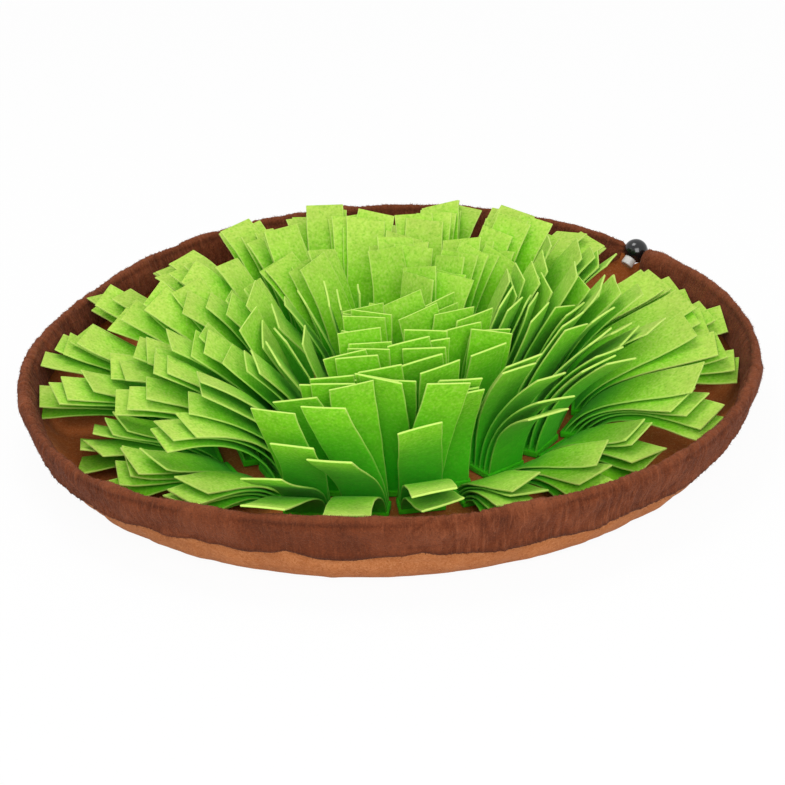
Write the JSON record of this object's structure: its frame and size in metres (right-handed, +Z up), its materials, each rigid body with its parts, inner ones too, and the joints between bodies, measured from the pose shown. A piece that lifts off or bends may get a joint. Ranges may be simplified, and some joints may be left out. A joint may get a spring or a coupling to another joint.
{
  "type": "snuffle mat",
  "caption": "Round snuffle mat: a shallow cloth dish with a drawstring plush rim, filled with fanned stacks of green felt strips; a cord lock with a sprung button sits in the rim.",
  "frame": {"origin": "middle of the underside, on the surface that the mat rests on", "axes": "+Z up, out of the dish; the cord lock sits at 38 degrees from +X towards +Y"},
  "size_m": [0.4497, 0.4452, 0.0952],
  "materials": {
    "tan_velour": "soft short pile",
    "brown_plush": "gathered short plush",
    "green_felt": "matt needled felt",
    "black_cord": "smooth round cord",
    "black_plastic": "glossy",
    "pale_plastic": "satin"
  },
  "bodies": {
    "root": {"dish_cloth": "tan_velour", "rim_casing": "brown_plush", "drawstring": "black_cord", "lock_barrel": "black_plastic", "felt_bundle_01": "green_felt", "felt_bundle_02": "green_felt", "felt_bundle_03": "green_felt", "felt_bundle_04": "green_felt", "felt_bundle_05": "green_felt", "felt_bundle_06": "green_felt", "felt_bundle_07": "green_felt", "felt_bundle_08": "green_felt", "felt_bundle_09": "green_felt", "felt_bundle_10": "green_felt", "felt_bundle_11": "green_felt", "felt_bundle_12": "green_felt", "felt_bundle_13": "green_felt", "felt_bundle_14": "green_felt", "felt_bundle_15": "green_felt", "felt_bundle_16": "green_felt", "felt_bundle_17": "green_felt", "felt_bundle_18": "green_felt", "felt_bundle_19": "green_felt", "felt_bundle_20": "green_felt", "felt_bundle_21": "green_felt", "felt_bundle_22": "green_felt", "felt_bundle_23": "green_felt", "felt_bundle_24": "green_felt", "felt_bundle_25": "green_felt", "felt_bundle_26": "green_felt", "felt_bundle_27": "green_felt", "felt_bundle_28": "green_felt", "felt_bundle_29": "green_felt", "felt_bundle_30": "green_felt", "felt_bundle_31": "green_felt", "felt_bundle_32": "green_felt", "felt_bundle_33": "green_felt", "felt_bundle_34": "green_felt", "felt_bundle_35": "green_felt", "felt_bundle_36": "green_felt", "felt_bundle_37": "green_felt", "felt_bundle_38": "green_felt", "felt_bundle_39": "green_felt", "felt_bundle_40": "green_felt", "felt_bundle_41": "green_felt", "felt_bundle_42": "green_felt", "felt_bundle_43": "green_felt", "felt_bundle_44": "green_felt", "felt_bundle_45": "green_felt", "felt_bundle_46": "green_felt", "felt_bundle_47": "green_felt", "felt_bundle_48": "green_felt", "felt_bundle_49": "green_felt", "felt_bundle_50": "green_felt", "felt_bundle_51": "green_felt", "felt_bundle_52": "green_felt", "felt_bundle_53": "green_felt", "felt_bundle_54": "green_felt", "felt_bundle_55": "green_felt"},
    "button": {"lock_button": "pale_plastic"}
  },
  "joints": [
    {"name": "button_press", "type": "slide", "parent": "root", "child": "button", "axis": [0.602, 0.4737, 0.6428], "range_m": [0, 0.0025], "stiffness_N_per_m": 600, "springref_m": -0.0015}
  ]
}
